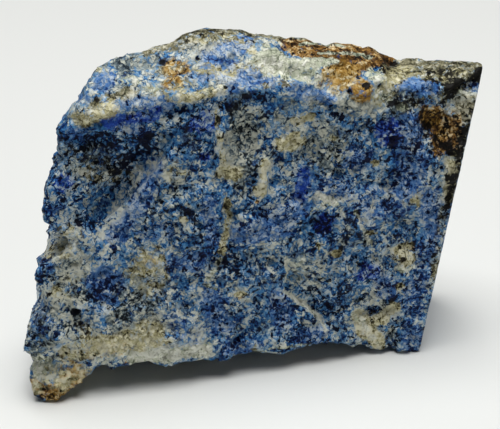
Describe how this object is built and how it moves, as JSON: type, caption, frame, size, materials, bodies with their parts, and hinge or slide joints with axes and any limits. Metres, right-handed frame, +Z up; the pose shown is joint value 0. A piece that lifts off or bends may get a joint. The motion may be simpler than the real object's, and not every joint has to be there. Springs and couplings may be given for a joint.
{
  "type": "raw lapis lazuli",
  "caption": "Rough hand specimen of lapis lazuli: a tall broken slab with a bevelled crown, one end cut flat, and worn feet and a heel that it stands on.",
  "frame": {"origin": "middle of the bounding box's base, at the level of the surface the stone stands on", "axes": "+X runs along the broad front face towards the flat cut end, +Y points to the back of the stone and +Z is up; the front face looks along -Y, swung 13 degrees towards +X"},
  "size_m": [0.0894, 0.0454, 0.0696],
  "materials": {
    "lapis": "rough broken stone, sugary grain, unpolished"
  },
  "bodies": {
    "root": {"lapis_lazuli": "lapis"}
  },
  "joints": []
}
